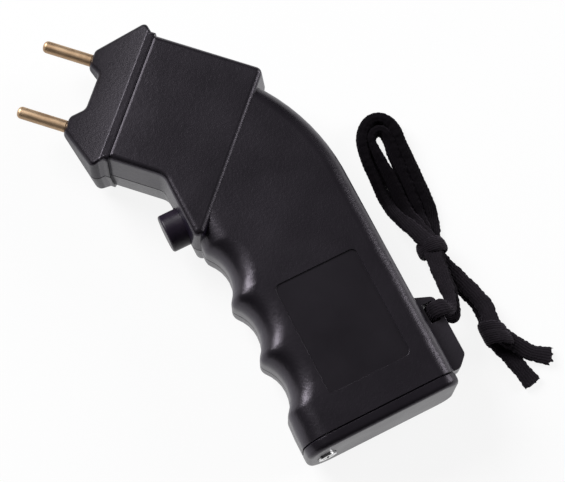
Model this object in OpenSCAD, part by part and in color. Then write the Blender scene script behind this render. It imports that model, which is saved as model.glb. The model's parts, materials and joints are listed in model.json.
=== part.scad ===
// Hand-held cattle prodder with a pistol shaped body, two electrodes and a wrist cord.
// It lies on its side: Z is the thickness, the electrodes point to -X, the back of the head to +Y.

/* [Body] */
// Thickness over the side faces of the head.
thick = 30; // [28:0.5:36]
// Wall of the moulded shells.
wall = 2.4; // [2:0.1:2.8]
// Angle between the head and the grip.
bend = 45; // [42:1:48]
// Slope of the moulded side walls.
draft = 4; // [2:0.5:5]
// Rounding along the edges of the head.
head_edge = 2; // [1:0.25:2.5]
// Chamfer along the parting line of the two shells.
seam = 0.3; // [0.2:0.05:0.5]
// Free space round the moving pieces.
clear = 0.3; // [0.25:0.05:0.4]

/* [Head] */
// Height of the side face of the head.
head_h = 45.5; // [43:0.5:50]
// Length of the head ahead of the grip axis.
head_l = 40; // [38:0.5:46]
// Step line behind the grip axis.
head_back = 0.5; // [0.25:0.25:1.5]
// Distance from the grip axis to the face with the button.
face_d = 29; // [28.4:0.2:31]
// Place along the grip axis at which the face with the button ends.
face_end = 26.5; // [26:0.5:29]
// Radius of the hollow corner under the head.
corner_r = 5; // [3:0.5:7]

/* [Nose] */
// Width over the flared rear tips.
nose_w = 53.6; // [52:0.2:60]
// Length from the collar to the front.
nose_l = 17; // [16:0.5:20]
// Thickness at the front.
nose_tip_t = 8; // [7:0.5:11]
// Width of the notch between the two electrode bosses.
notch_w = 13; // [10:0.5:14]
// Depth of that notch.
notch_d = 4.8; // [3:0.2:5.6]
// Length of the collar band behind the nose.
collar_l = 2.5; // [2:0.25:4]
// Height of the collar band above the head.
collar_out = 1; // [0.5:0.1:1.4]

/* [Electrodes] */
// Diameter of the electrodes.
electrode_d = 4.2; // [3.6:0.1:4.8]
// Distance between the two electrodes.
electrode_pitch = 25; // [24:0.5:27]
// Length that stands out of the nose.
electrode_out = 17.4; // [12:0.2:25]

/* [Grip] */
// Distance from the grip axis to the finger crests.
grip_front = 28; // [27.4:0.2:30]
// Distance from the grip axis to the back.
grip_back = 25.2; // [24.6:0.2:28]
// Length from the head axis to the end cap.
grip_l = 102; // [101:0.5:112]
// Drop of the grip's side below the head's side at the step.
grip_drop = 0.8; // [0.4:0.1:1.2]
// Distance between two finger crests.
finger_pitch = 20.5; // [19:0.25:21]
// Place of the first crest along the grip axis.
finger_start = 30; // [29:0.5:31]
// Depth of the finger grooves.
finger_deep = 3.8; // [2.4:0.2:4.2]
// Rounding of the finger crests.
crest_r = 2.5; // [1.5:0.1:3.5]
// Step outwards of the heel below the last groove.
heel_out = 0.6; // [0.2:0.1:1]
// Rounding of the front edge.
front_round = 9; // [7:0.5:10]
// Rounding of the back edge.
back_round = 6; // [4:0.5:7]
// Radius of the curved back behind the head.
back_r = 69; // [62:1:76]
// Height of the grip's back where it meets the head.
back_top = 17.8; // [17:0.1:19]
// Length of the label recess.
label_l = 39; // [30:0.5:44]
// Width of the label recess.
label_w = 29; // [20:0.5:32]
// Depth of the label recess.
label_sink = 0.4; // [0.2:0.05:0.6]

/* [Wrist lug] */
// Distance that the lug stands out of the back.
lug_out = 7; // [6.4:0.2:8]
// Length along the back.
lug_l = 27.5; // [24:0.5:30]
// Thickness.
lug_t = 8; // [6:0.5:10]
// Length of the cord slot.
slot_l = 6.8; // [6.4:0.2:8]
// Width of the cord slot.
slot_w = 3.4; // [3.1:0.1:3.6]

/* [End cap] */
// Thickness.
cap_t = 4; // [3.6:0.2:6]
// Rounding of the outer edge.
cap_edge = 1.8; // [1:0.2:2.4]

/* [Button] */
// Diameter of the button.
button_d = 13; // [11:0.5:14]
// Place along the grip axis.
button_a = 17.2; // [16.8:0.1:17.4]
// Length that stands out of the face.
button_out = 6.2; // [5:0.2:8]
// Travel.
button_travel = 2.5; // [1.5:0.1:2.8]

/* [Battery] */
// Length of the block battery without its studs.
battery_l = 46.4; // [44:0.2:47]
// Width of the block battery.
battery_w = 26.5; // [25:0.5:27]
// Thickness of the block battery.
battery_t = 17.5; // [16:0.5:18]

/* [Wrist cord] */
// Width of the flat braided cord.
cord_w = 5.6; // [4.6:0.2:6]
// Thickness of the cord.
cord_t = 2.2; // [1.8:0.1:2.3]

/* [Hidden] */
$fn = 40;
steps = 4;
mid = thick / 2;
cut = wall / 2;
side_run = mid * tan(draft);

// Plane helpers
function unit(v) = v / norm(v);
function g(a, d) = [a * cos(bend) + d * sin(bend), d * cos(bend) - a * sin(bend)];
function g3(a, d, z) = concat(g(a, d), z);
function left(v) = [-v.y, v.x];
function corner(p, q, s, r, n) =
    let (u = unit(p - q), v = unit(s - q), half = acos(u * v) / 2)
    let (c = q + unit(u + v) * r / sin(half), b = u * r / tan(half) + q - c, e = v * r / tan(half) + q - c)
    let (from = atan2(b.y, b.x), turn = atan2(b.x * e.y - b.y * e.x, b * e))
    [for (i = [0:n]) c + r * [cos(from + turn * i / n), sin(from + turn * i / n)]];
function shrink(p, e) =
    let (n = len(p))
    [for (i = [0:n - 1])
        let (a = left(unit(p[i] - p[(i + n - 1) % n])), b = left(unit(p[(i + 1) % n] - p[i])))
        p[i] + e * (a + b) / (1 + a * b)];
function bulges(p, i) =
    let (n = len(p), a = p[i] - p[(i + n - 1) % n], b = p[(i + 1) % n] - p[i])
    a.x * b.y - a.y * b.x > 0;
function rounded(p, r, e) =
    let (n = len(p), q = shrink(p, e))
    [for (i = [0:n - 1])
        each corner(q[(i + n - 1) % n], q[i], q[(i + 1) % n],
            max(seam, bulges(p, i) ? r[i] - e : r[i] + e), steps)];

// The origin is at the middle of the head's resting side
module placed() {
    translate([head_l / 2, 0, 0])
        children();
}

// Closed solid through rings of points, whose last point sees all the others
module stack(rings) {
    m = len(rings[0]);
    n = len(rings);
    polyhedron(
        points = [for (ring = rings) each ring],
        faces = concat(
            [[for (i = [0:m - 1]) (i + m - 1) % m]],
            [for (k = [0:n - 2]) for (i = [0:m - 1]) let (j = (i + 1) % m)
                each [[k * m + i, (k + 1) * m + i, (k + 1) * m + j], [k * m + i, (k + 1) * m + j, k * m + j]]],
            [[for (i = [m - 1:-1:0]) (n - 1) * m + i]]
        )
    );
}

// Head block, in half thickness above the parting plane
head_top = head_h / 2;
block_front = head_l - collar_l * 0.7;
head_pts = [
    [-block_front, -head_top],
    [(head_top * cos(bend) - face_d) / sin(bend), -head_top],
    g(face_end, -face_d),
    [head_back, (head_back * cos(bend) - face_end) / sin(bend)],
    [head_back, head_top],
    [-block_front, head_top]
];
head_radii = [seam, corner_r, head_edge, head_edge / 2, head_edge, seam];
function edge_rings(run, top, edge, under) = concat(
    [[seam - run, -under], [seam - run, 0], [-run, seam]],
    [for (i = [0:steps]) let (t = 90 * i / steps)
        [edge * (1 - cos(t)) - run * edge / top, edge * (1 - sin(t))]]
);
module head_half() {
    rings = concat(edge_rings(side_run, mid, head_edge, cut), [[head_edge * (1 - side_run / mid), -cut]]);
    stack([for (k = [0:len(rings) - 1])
        let (z = k < 3 ? rings[k][1] : mid - rings[k][1])
        [for (p = rounded(head_pts, head_radii, rings[k][0])) concat(p, z)]]);
}

// Flared nose, thinner towards the electrodes
nose_edge = min(head_edge * 0.7, nose_tip_t / 6);
nose_sunk = nose_edge * 0.6;
nose_rear = head_l - 2 * nose_sunk;
nose_front = head_l + nose_l;
nose_run = side_run * 0.6;
nose_face = nose_front + nose_run;
boss_half = electrode_d * 0.65;
boss_y = electrode_pitch / 2;
tip_x = head_l + collar_l * 0.9;
nose_root = head_top + collar_out - nose_sunk;
nose_half_pts = [
    [-nose_rear, nose_root],
    [-tip_x, nose_w / 2],
    [-nose_front, boss_y + boss_half],
    [-nose_front, boss_y - boss_half],
    [notch_d - nose_front, notch_w / 2]
];
nose_pts = concat(nose_half_pts, [for (i = [4:-1:0]) [nose_half_pts[i].x, -nose_half_pts[i].y]]);
nose_half_radii = [seam, nose_edge * 1.4, nose_edge * 1.4, nose_edge * 1.4, notch_d / 2];
nose_radii = concat(nose_half_radii, [for (i = [4:-1:0]) nose_half_radii[i]]);
nose_slope = (mid - nose_tip_t / 2) / (nose_front - nose_rear - nose_sunk);
function nose_z(x) = mid + nose_slope * (x + nose_rear + nose_sunk);
module nose_half() {
    rings = edge_rings(nose_run, mid, nose_edge, cut * 1.5);
    stack([for (k = [0:len(rings) - 1])
        let (edge = rounded(nose_pts, nose_radii, rings[k][0]), root = (edge[0] + edge[len(edge) - 1]) / 2)
        [for (p = concat(edge, [root]))
            concat(p, k < 3 ? rings[k][1] : nose_z(p.x) - rings[k][1])]]);
}

// Collar band behind the nose
module collar_half() {
    y = head_top + collar_out;
    low = y + side_run;
    under = cut * 0.7;
    pts = concat(
        [[seam - low, -under], [low - seam, -under], [low - seam, 0], [low, seam]],
        corner([low, 0], [y, mid], [0, mid], head_edge, steps),
        corner([0, mid], [-y, mid], [-low, 0], head_edge, steps),
        [[-low, seam], [seam - low, 0]]
    );
    translate([-head_l, 0, 0])
        rotate([90, 0, 90])
            linear_extrude(collar_l)
                polygon(pts);
}

// Grip with its finger grooves, lofted along the grip axis
grip_h = mid - grip_drop;
arc_d = grip_back - back_r;
step_a = head_back * cos(bend) - back_top * sin(bend);
step_d = head_back * sin(bend) + back_top * cos(bend);
arc_a = step_a + sqrt(back_r * back_r - (step_d - arc_d) * (step_d - arc_d));
heel_a = finger_start + 3 * finger_pitch;
both_r = (finger_pitch * finger_pitch / 4 + finger_deep * finger_deep) / (2 * finger_deep);
groove_r = both_r - crest_r;
crest_run = finger_pitch / 2 * crest_r / both_r;
function groove(a) =
    a <= finger_start || a >= heel_a ? 0 :
    let (t = (a - finger_start) / finger_pitch, u = finger_pitch * abs(t - floor(t) - 0.5))
    let (s = finger_pitch / 2 - u)
    s < crest_run ? crest_r - sqrt(crest_r * crest_r - s * s)
        : finger_deep - groove_r + sqrt(groove_r * groove_r - u * u);
function heel(a) = heel_out * min(1, max(0, (a - heel_a + finger_pitch / 4) / finger_pitch * 2));
hidden_d = grip_front * 1.04;
function front(a) = max(groove(a) - grip_front - heel(a), -hidden_d - a);
function back(a) = a >= arc_a ? grip_back : arc_d + sqrt(back_r * back_r - (arc_a - a) * (arc_a - a));
function back_deep(a) = a >= arc_a ? back_round : back_round * back_r / (back(a) - arc_d);
function half_at(a) = grip_h + grip_drop * a / grip_l;
round_steps = 6;
function grip_half_section(a, e) =
    let (f = front(a) + e, b = back(a) - e, h = half_at(a) - e, rf = front_round - e, rb = back_round - e)
    let (wide = back_deep(a) - e)
    concat(
        [for (i = [0:round_steps]) let (t = 90 * i / round_steps)
            [b - wide * (1 - cos(t)), h - rb * (1 - sin(t))]],
        [for (i = [0:round_steps]) let (t = 90 * i / round_steps)
            [f + rf * (1 - sin(t)), h - rf * (1 - cos(t))]]
    );
groove_shares = [0, 0.04, 0.08, 0.16, 0.26, 0.38, 0.5, 0.62, 0.74, 0.84, 0.92, 0.96];
back_steps = 10;
stations = concat(
    [for (i = [0:back_steps - 1]) step_a - wall + (finger_start - step_a + wall) * i / back_steps],
    [for (k = [0:2]) for (share = groove_shares) finger_start + finger_pitch * (k + share)],
    [heel_a, heel_a + finger_pitch / 4, grip_l]
);
module grip_half() {
    under = cut * 1.25;
    rings = [for (a = stations)
        let (s = grip_half_section(a, 0), f = front(a), b = back(a))
        [for (p = concat(
            [[f + seam, -under], [b - seam, -under], [b - seam, 0], [b, seam]], s, [[f, seam], [f + seam, 0]]
        )) [a, p.x, p.y]]];
    rotate([0, 0, -bend])
        stack(rings);
}

// Lug for the wrist cord on the lower back
lug_gap = seam * 3;
lug_a = grip_l - lug_gap - lug_l;
lug_d = grip_back + lug_out;
slot_a = lug_a + lug_out * 0.53 + slot_l / 2;
slot_d = grip_back + lug_out * 0.3 + slot_w / 2;
lug_pts = [
    [lug_a - wall * 0.4, grip_back - wall], [lug_a + lug_l, grip_back - wall],
    [lug_a + lug_l, lug_d - lug_out * 0.5], [lug_a + lug_l - lug_out * 0.5, lug_d],
    [lug_a + lug_out * 0.4, lug_d]
];
lug_radii = [seam, seam, lug_out * 0.3, lug_out * 0.3, lug_out * 0.3];
module lug_half() {
    rotate([0, 0, -bend])
        difference() {
            linear_extrude(lug_t / 2)
                polygon(rounded(lug_pts, lug_radii, 0));
            translate([slot_a - slot_l / 2, slot_d - slot_w / 2, -cut])
                cube([slot_l, slot_w, lug_t]);
        }
}

// Hollow inside one half
room_front = head_l - collar_l - wall;
room_back = wall - head_back;
room_y = head_top - wall;
room_h = mid - wall;
space_h = grip_h - wall;
space_front = grip_front - finger_deep - wall;
space_back = grip_back - wall;
inside_r = back_r - back_round;
bay_half = button_d / 2 + wall * 0.75;
space_pts = concat(
    [[-space_front, -cut], [space_back, -cut]],
    corner([space_back, 0], [space_back, space_h], [0, space_h], back_round - wall, steps),
    corner([0, space_h], [-space_front, space_h], [-space_front, 0], front_round - wall, steps)
);
module hollow() {
    translate([-room_front, -room_y, -cut])
        cube([room_front - room_back, 2 * room_y, room_h + cut]);
    translate([0, 0, -cut])
        linear_extrude(space_h + cut)
            intersection() {
                translate(g(arc_a, arc_d))
                    circle(inside_r);
                polygon([
                    [-room_back - cut, -room_y], g(arc_a, -space_front), g(arc_a, grip_back),
                    [-room_back - cut, head_top]
                ]);
            }
    rotate([0, 0, -bend]) {
        translate([arc_a - cut, 0, 0])
            rotate([90, 0, 90])
                linear_extrude(grip_l - arc_a + 2 * cut)
                    polygon(space_pts);
        translate([button_a - bay_half, wall - face_d, -cut])
            cube([2 * bay_half, face_d - wall, space_h + cut]);
    }
}

// Screw bosses
boss_r = wall * 1.6;
screw_r = boss_r * 0.34;
head_r = boss_r * 0.62;
sink_r = boss_r * 0.68;
screw_seat = mid * 0.4;
screw_in = mid * 0.6;
boss_in = boss_r * 0.8;
screw_spots = [
    [boss_in - room_front, room_y - boss_in],
    [boss_in - room_front, boss_in - room_y],
    [-room_back - boss_in, room_y - boss_in],
    g(finger_start + boss_r * 0.3, boss_in - space_front),
    g(grip_l * 0.61, space_back - boss_in),
    g(grip_l - boss_r * 2.7, boss_in - space_front)
];
in_head = [true, true, true, false, false, false];
module bosses() {
    for (i = [0:len(screw_spots) - 1])
        translate(screw_spots[i])
            cylinder(r = boss_r, h = (in_head[i] ? room_h : space_h) + cut);
}

// Battery place
plug_l = wall * 1.8;
battery_end = grip_l - plug_l - wall / 2;
battery_a = battery_end - battery_l;
rib_t = wall * 0.7;
module battery_box(a0, a1) {
    translate([a0, -battery_w / 2, -battery_t / 2])
        cube([a1 - a0, battery_w, battery_t]);
}
module battery_ribs() {
    rotate([0, 0, -bend])
        for (k = [0:2])
            difference() {
                translate([battery_a + battery_l * (0.15 + 0.32 * k), -battery_w / 2 - rib_t, battery_t / 5])
                    cube([rib_t, battery_w + 2 * rib_t, space_h + cut - battery_t / 5]);
                battery_box(battery_a - cut, battery_end + cut);
            }
}

// Nut block for the end cap screw
nut_t = wall;
nut_play = wall * 0.02;
nut_w = wall * 2.3;
cap_screw_r = wall * 0.625;
cap_screw_d = -space_front - wall * 0.1;
nut_a = grip_l - wall * 2.2;
block_w = nut_w + 2 * wall;
module nut_block() {
    rotate([0, 0, -bend])
        translate([nut_a - wall, cap_screw_d - wall * 0.5, 0])
            cube([nut_t + 2 * wall, wall * 0.5 + block_w / 2, block_w / 2]);
}
module nut_room() {
    rotate([0, 0, -bend]) {
        translate([nut_a, cap_screw_d - nut_w / 2, -nut_w / 2])
            cube([nut_t, nut_w, nut_w]);
        translate([nut_a - wall - cut, cap_screw_d, 0])
            rotate([0, 90, 0])
                cylinder(r = cap_screw_r + clear, h = grip_l - nut_a + wall + 2 * cut);
    }
}

// Electrode seats in the nose
electrode_r = electrode_d / 2;
neck_r = electrode_r * 0.9;
electrode_play = electrode_r * 0.02;
flange_r = electrode_r * 1.8;
flange_t = wall * 0.8;
flange_x = -nose_front + nose_l * 0.42;
seat_x = flange_x + flange_t + wall * 0.8;
stud_r = electrode_r * 0.7;
stud_l = wall * 2.2;
well_r = electrode_r * 2.9;
module along_electrode(y, x) {
    translate([x, y, 0])
        rotate([0, 90, 0])
            children();
}
module electrode_seats() {
    for (y = [-boss_y, boss_y]) {
        along_electrode(y, -nose_front - nose_l)
            cylinder(r = neck_r + electrode_play, h = nose_front + nose_l + seat_x + cut);
        along_electrode(y, flange_x)
            cylinder(r = flange_r + electrode_play, h = flange_t);
        along_electrode(y, seat_x)
            cylinder(r = well_r, h = -room_front - seat_x + cut);
    }
}

// Button, its spring and the switch behind it
button_face = face_d + side_run;
flange_d = clear - face_d + wall;
button_flange = wall * 0.6;
stem_r = button_d * 0.18;
stem_end = flange_d + button_flange + button_travel * 2;
plunger_r = stem_r * 0.6;
plunger_out = button_travel + wall * 0.6;
switch_d = stem_end + clear + plunger_out;
switch_w = button_d * 0.9;
switch_deep = wall * 3.6;
tab_w = wall * 0.8;
tab_t = wall * 0.25;
tab_l = wall * 1.4;
tab_gap = switch_w * 0.34;
module button_hole() {
    rotate([0, 0, -bend])
        translate([button_a, -button_face - button_out, 0])
            rotate([-90, 0, 0])
                cylinder(r = button_d / 2 + clear, h = button_out + side_run + wall + cut);
}
module switch_stop() {
    rotate([0, 0, -bend]) {
        translate([button_a - tab_gap + tab_w, switch_d + switch_deep, 0])
            cube([2 * (tab_gap - tab_w), wall, space_h + cut]);
        translate([button_a - switch_w / 2, switch_d + wall / 2, switch_w / 2])
            cube([switch_w, switch_deep - wall, space_h + cut - switch_w / 2]);
    }
}

// Circuit board place in the far half
board_x = -room_front + wall * 0.5;
board_l = room_front - room_back - wall * 1.4;
board_w = 2 * (room_y - 2 * boss_r) - 2 * clear;
board_t = wall * 0.65;
post_h = wall * 1.6;
board_z = wall + post_h;
parts_z = board_z + board_t;
post_r = wall * 0.9;
peg_r = post_r * 0.5;
post_in = post_r * 1.3;
post_spots = [
    [board_x + post_in, board_w / 2 - post_in],
    [board_x + post_in, post_in - board_w / 2],
    [board_x + board_l - post_in, board_w / 2 - post_in],
    [board_x + board_l - post_in, post_in - board_w / 2]
];

// The half that both shells share
module cut_off(z) {
    translate([-2 * nose_front, -2 * grip_l, z])
        cube([2 * (nose_front + grip_l), 4 * grip_l, thick]);
}
module half_body() {
    difference() {
        union() {
            difference() {
                union() {
                    grip_half();
                    head_half();
                    nose_half();
                    collar_half();
                }
                hollow();
                cut_off(-thick);
                cut_off(mid);
            }
            bosses();
            battery_ribs();
            nut_block();
            switch_stop();
            lug_half();
        }
        electrode_seats();
        button_hole();
        nut_room();
    }
}

module label_recess() {
    at = finger_start + finger_pitch * 2.05;
    pts = [[-label_l / 2, -label_w / 2], [label_l / 2, -label_w / 2], [label_l / 2, label_w / 2],
        [-label_l / 2, label_w / 2]];
    tilt = atan(grip_drop / grip_l);
    rotate([0, 0, -bend])
        translate([0, 0, grip_h])
            rotate([0, -tilt, 0])
                translate([at, label_w * 0.02, -label_sink])
                    linear_extrude(label_sink + cut)
                        polygon(rounded(pts, [for (p = pts) label_l * 0.05], 0));
}

module shell_near() {
    color([0.17, 0.165, 0.185]) placed()
        translate([0, 0, mid])
            difference() {
                half_body();
                label_recess();
                for (p = screw_spots)
                    translate([p.x, p.y, -cut])
                        cylinder(r = screw_r, h = screw_in + cut);
            }
}

module shell_far() {
    color([0.16, 0.155, 0.175]) placed()
        difference() {
            union() {
                translate([0, 0, mid])
                    mirror([0, 0, 1])
                        half_body();
                for (p = post_spots)
                    translate([p.x, p.y, wall - cut]) {
                        cylinder(r = post_r, h = post_h + cut);
                        cylinder(r = peg_r, h = post_h + cut + board_t * 1.5);
                    }
            }
            for (p = screw_spots)
                translate([p.x, p.y, -cut]) {
                    cylinder(r = screw_r, h = mid + 2 * cut);
                    cylinder(r = sink_r, h = mid - screw_seat + cut);
                }
        }
}

module shell_screws() {
    head_l_z = boss_r * 0.5;
    color([0.62, 0.62, 0.64]) placed()
        for (p = screw_spots)
            translate([p.x, p.y, mid - screw_seat])
                difference() {
                    union() {
                        translate([0, 0, -head_l_z])
                            cylinder(r = head_r, h = head_l_z);
                        cylinder(r = screw_r, h = screw_seat + screw_in * 0.95);
                    }
                    translate([0, 0, -head_l_z - cut])
                        cylinder(r = head_r * 0.4, h = cut + head_l_z * 0.6, $fn = 6);
                }
}

// One turned electrode: rounded tip, shank with a shoulder on the nose, neck, clamped flange and stud
module electrode(y) {
    tip_r = electrode_r * 0.7;
    total = electrode_out + nose_face + seat_x + stud_l;
    at_flange = electrode_out + nose_face + flange_x;
    at_seat = electrode_out + nose_face + seat_x;
    translate([-nose_face - electrode_out, y, mid])
        rotate([0, 90, 0])
            union() {
                rotate_extrude()
                    intersection() {
                        union() {
                            translate([0, tip_r])
                                square([electrode_r, electrode_out - tip_r]);
                            translate([0, electrode_out - tip_r])
                                square([neck_r, at_seat - electrode_out + tip_r]);
                            square([electrode_r - tip_r, tip_r * 2]);
                            translate([electrode_r - tip_r, tip_r])
                                circle(tip_r);
                        }
                        square([electrode_r, total]);
                    }
                translate([0, 0, at_flange])
                    cylinder(r = flange_r, h = flange_t);
                cylinder_from(at_seat, stud_r, stud_l);
            }
}
module cylinder_from(z, r, l) {
    translate([0, 0, z])
        cylinder(r = r, h = l);
}
module electrode_upper() {
    color([0.78, 0.58, 0.32]) placed()
        electrode(boss_y);
}
module electrode_lower() {
    color([0.78, 0.58, 0.32]) placed()
        electrode(-boss_y);
}

tag_t = wall * 0.3;
tag_off = electrode_r * 2.15;
barrel_r = electrode_r * 0.55;
stud_nut_t = wall;
module electrode_tags() {
    color([0.7, 0.7, 0.72]) placed()
        for (s = [-1, 1])
            translate([seat_x, s * boss_y, mid])
                rotate([0, 90, 0])
                    difference() {
                        union() {
                            cylinder(r = stud_r * 2, h = tag_t);
                            translate([-barrel_r, min(0, -s * tag_off), 0])
                                cube([2 * barrel_r, tag_off, tag_t]);
                            translate([0, -s * tag_off, 0])
                                cylinder(r = barrel_r, h = stud_l);
                        }
                        translate([0, 0, -cut])
                            cylinder(r = stud_r, h = stud_l);
                    }
}
module electrode_nuts() {
    color([0.75, 0.6, 0.35]) placed()
        for (s = [-1, 1])
            translate([seat_x + tag_t, s * boss_y, mid])
                rotate([0, 90, 0])
                    difference() {
                        cylinder(r = stud_r * 2, h = stud_nut_t, $fn = 6);
                        translate([0, 0, -cut])
                            cylinder(r = stud_r, h = stud_nut_t + 2 * cut);
                    }
}

// Electronics in the head
module circuit_board() {
    color([0.1, 0.35, 0.2]) placed()
        difference() {
            translate([board_x, -board_w / 2, board_z])
                cube([board_l, board_w, board_t]);
            for (p = post_spots)
                translate([p.x, p.y, board_z - cut])
                    cylinder(r = peg_r, h = board_t + 2 * cut);
        }
}
module_x = board_x + 2 * post_in;
module_l = board_l - 4 * post_in;
module_w = board_w * 0.42;
module_h = room_h * 0.95;
core_l = module_l * 0.56;
core_w = board_w * 0.4;
core_h = room_h * 0.9;
leg = core_l / 5;
module hv_module() {
    color([0.12, 0.12, 0.3]) placed()
        difference() {
            translate([module_x, board_w * 0.04, parts_z])
                cube([module_l, module_w, module_h]);
            translate([module_x + leg / 2, board_w * 0.04 + leg / 2, parts_z + module_h - leg / 4])
                cube([module_l - leg, module_w - leg, leg]);
        }
}
module core_window(k) {
    translate([module_x + leg + k * 2 * leg, -board_w * 0.04 - core_w - cut, parts_z + leg])
        cube([leg, core_w + 2 * cut, core_h - 2 * leg]);
}
module transformer_core() {
    color([0.2, 0.2, 0.2]) placed()
        difference() {
            translate([module_x, -board_w * 0.04 - core_w, parts_z])
                cube([core_l, core_w, core_h]);
            core_window(0);
            core_window(1);
        }
}
module transformer_winding() {
    slack = leg * 0.1;
    color([0.75, 0.42, 0.15]) placed()
        difference() {
            translate([module_x + leg + slack, -board_w * 0.04 - core_w - slack, parts_z + leg])
                cube([3 * leg - 2 * slack, core_w + 2 * slack, core_h - 2 * leg]);
            translate([module_x + 2 * leg, -board_w * 0.04 - core_w, parts_z])
                cube([leg, core_w, core_h]);
        }
}
module storage_capacitor() {
    color([0.55, 0.12, 0.1]) placed()
        translate([module_x + core_l + leg, -board_w * 0.04 - core_w, parts_z])
            cube([leg * 1.5, core_w, core_h * 0.7]);
}
transistor_x = module_x + core_l + leg * 3.2;
transistor_y = -board_w * 0.04 - core_w * 0.5;
transistor_w = core_w * 0.7;
module driver_transistor() {
    color([0.15, 0.15, 0.15]) placed()
        translate([transistor_x, transistor_y - transistor_w / 2, parts_z]) {
            translate([0, 0, leg])
                cube([leg * 0.8, transistor_w, core_h * 0.6]);
            for (k = [-1:1])
                translate([leg * 0.4, transistor_w / 2 + k * leg * 0.8, 0])
                    cylinder(r = leg * 0.15, h = leg + cut);
        }
}

// Tube swept along a route, with a flat or round section
function plain(p) = [p.x, p.y, p.z];
function heading(p, i) = unit(plain(p[min(i + 1, len(p) - 1)]) - plain(p[max(i - 1, 0)]));
steep_share = 0.9;
function level(h) = abs(h.z) > steep_share ? [cos(bend), -sin(bend), 0] : unit(cross([0, 0, 1], h));
function keep(s, r) = s * r < 0 ? -r : r;
function tube_rings(p, w, t, m) =
    let (n = len(p), s = [for (i = 0, s = level(heading(p, 0)); i < n; i = i + 1,
        s = keep(s, level(heading(p, min(i, n - 1))))) s])
    [for (i = [0:n - 1])
        let (h = heading(p, i), flat = unit(s[i] - h * (s[i] * h)), up = cross(h, flat))
        let (lean = len(p[i]) > 3 ? p[i][3] : 0)
        let (wide = flat * cos(lean) + up * sin(lean), thin = cross(h, wide))
        [for (k = [0:m - 1])
            plain(p[i]) + wide * cos(360 * k / m) * w / 2 + thin * sin(360 * k / m) * t / 2]];
module wire(p, r) {
    stack(tube_rings(p, 2 * r, 2 * r, 8));
}

// Leads inside the body
lead_r = barrel_r * 0.8;
thin_r = lead_r * 0.7;
tag_end = seat_x + stud_l;
lead_room = -room_front + lead_r * 1.6;
lead_upper = [
    [module_x, boss_y - tag_off, mid], [lead_room, boss_y - tag_off, mid],
    [tag_end + lead_r * 2, boss_y - tag_off, mid], [tag_end, boss_y - tag_off, mid]
];
lead_lower = [
    [module_x, board_w * 0.12, mid], [module_x - lead_r, board_w * 0.12, mid],
    [lead_room + lead_r, -board_w * 0.1, mid], [lead_room, tag_off - boss_y + lead_r, mid],
    [lead_room - lead_r * 2, tag_off - boss_y, mid], [tag_end, tag_off - boss_y, mid]
];
module electrode_leads() {
    color([0.6, 0.1, 0.1]) placed() {
        wire(lead_upper, lead_r);
        wire(lead_lower, lead_r);
    }
}
switch_back = switch_d + switch_deep + tab_l;
board_end = board_x + board_l;
pad_x = board_end - post_in;
module switch_leads() {
    color([0.75, 0.75, 0.2]) placed()
        for (k = [0, 1]) {
            a = button_a + (2 * k - 1) * tab_gap;
            y = -board_w * (0.08 + 0.14 * k);
            z = mid - k * thin_r * 7;
            wire([
                g3(a, switch_back, mid), g3(a, switch_back + tab_l * (1 + k / 2), mid),
                [room_back, y, z], [board_end + thin_r, y, mid * 0.9],
                [board_end - post_in * 0.7, y, parts_z + post_h], [pad_x, y, parts_z + post_h / 2],
                [pad_x, y, parts_z]
            ], thin_r);
        }
}
snap_t = wall * 1.6;
stud_h = wall * 0.9;
stud_at = battery_w * 0.24;
snap_a = battery_a - stud_h - snap_t * 0.4;
module battery_leads() {
    for (k = [0, 1]) {
        s = 2 * k - 1;
        y = board_w * (0.05 + 0.14 * k);
        color(k == 0 ? [0.08, 0.08, 0.08] : [0.7, 0.08, 0.08]) placed()
            wire([
                g3(snap_a, s * stud_at * 0.6, mid), g3(snap_a - snap_t, s * stud_at * 0.6, mid),
                g3(grip_l * 0.3, grip_back * 0.3 + s * thin_r * 3, mid),
                g3(grip_l * 0.16, grip_back * 0.45 + s * thin_r * 3, mid),
                [room_back * 2, y, mid], [board_end + thin_r, y, mid * 0.9],
                [board_end - post_in * 0.7, y, parts_z + post_h], [pad_x, y, parts_z + post_h / 2],
                [pad_x, y, parts_z]
            ], thin_r);
    }
}

// Push button and switch
module on_button(d) {
    rotate([0, 0, -bend])
        translate([button_a, d, mid])
            rotate([-90, 0, 0])
                children();
}
module trigger_button() {
    rim = button_d * 0.06;
    long = button_face + button_out + flange_d;
    color([0.06, 0.06, 0.07]) placed()
        on_button(-button_face - button_out) {
            rotate_extrude()
                polygon(concat(
                    [[0, 0]],
                    corner([0, 0], [button_d / 2, 0], [button_d / 2, long], rim, steps),
                    [[button_d / 2, long], [0, long]]
                ));
            translate([0, 0, long])
                cylinder(r = button_d / 2 + wall * 0.5, h = button_flange);
            translate([0, 0, long])
                cylinder(r = stem_r, h = stem_end - flange_d);
        }
}
spring_wire = stem_r * 0.32;
spring_r = stem_r * 1.6;
spring_turns = 5;
spring_from = flange_d + button_flange;
spring_rise = switch_d - spring_from - spring_wire;
module button_spring() {
    count = spring_turns * 10;
    color([0.7, 0.7, 0.72]) placed()
        on_button(spring_from + spring_wire / 2)
            stack(tube_rings(
                [for (i = [0:count]) let (t = 360 * spring_turns * i / count)
                    [spring_r * cos(t), spring_r * sin(t), spring_rise * i / count]],
                spring_wire, spring_wire, 6));
}
module switch_body() {
    color([0.2, 0.2, 0.22]) placed()
        on_button(switch_d)
            difference() {
                union() {
                    translate([-switch_w / 2, -switch_w / 2, 0])
                        cube([switch_w, switch_w, switch_deep]);
                    for (s = [-1, 1])
                        translate([s * tab_gap - tab_w / 2, -tab_t / 2, switch_deep - cut])
                            cube([tab_w, tab_t, tab_l + cut]);
                }
                translate([0, 0, -cut])
                    cylinder(r = plunger_r + clear, h = button_travel + wall + cut);
            }
}
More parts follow.
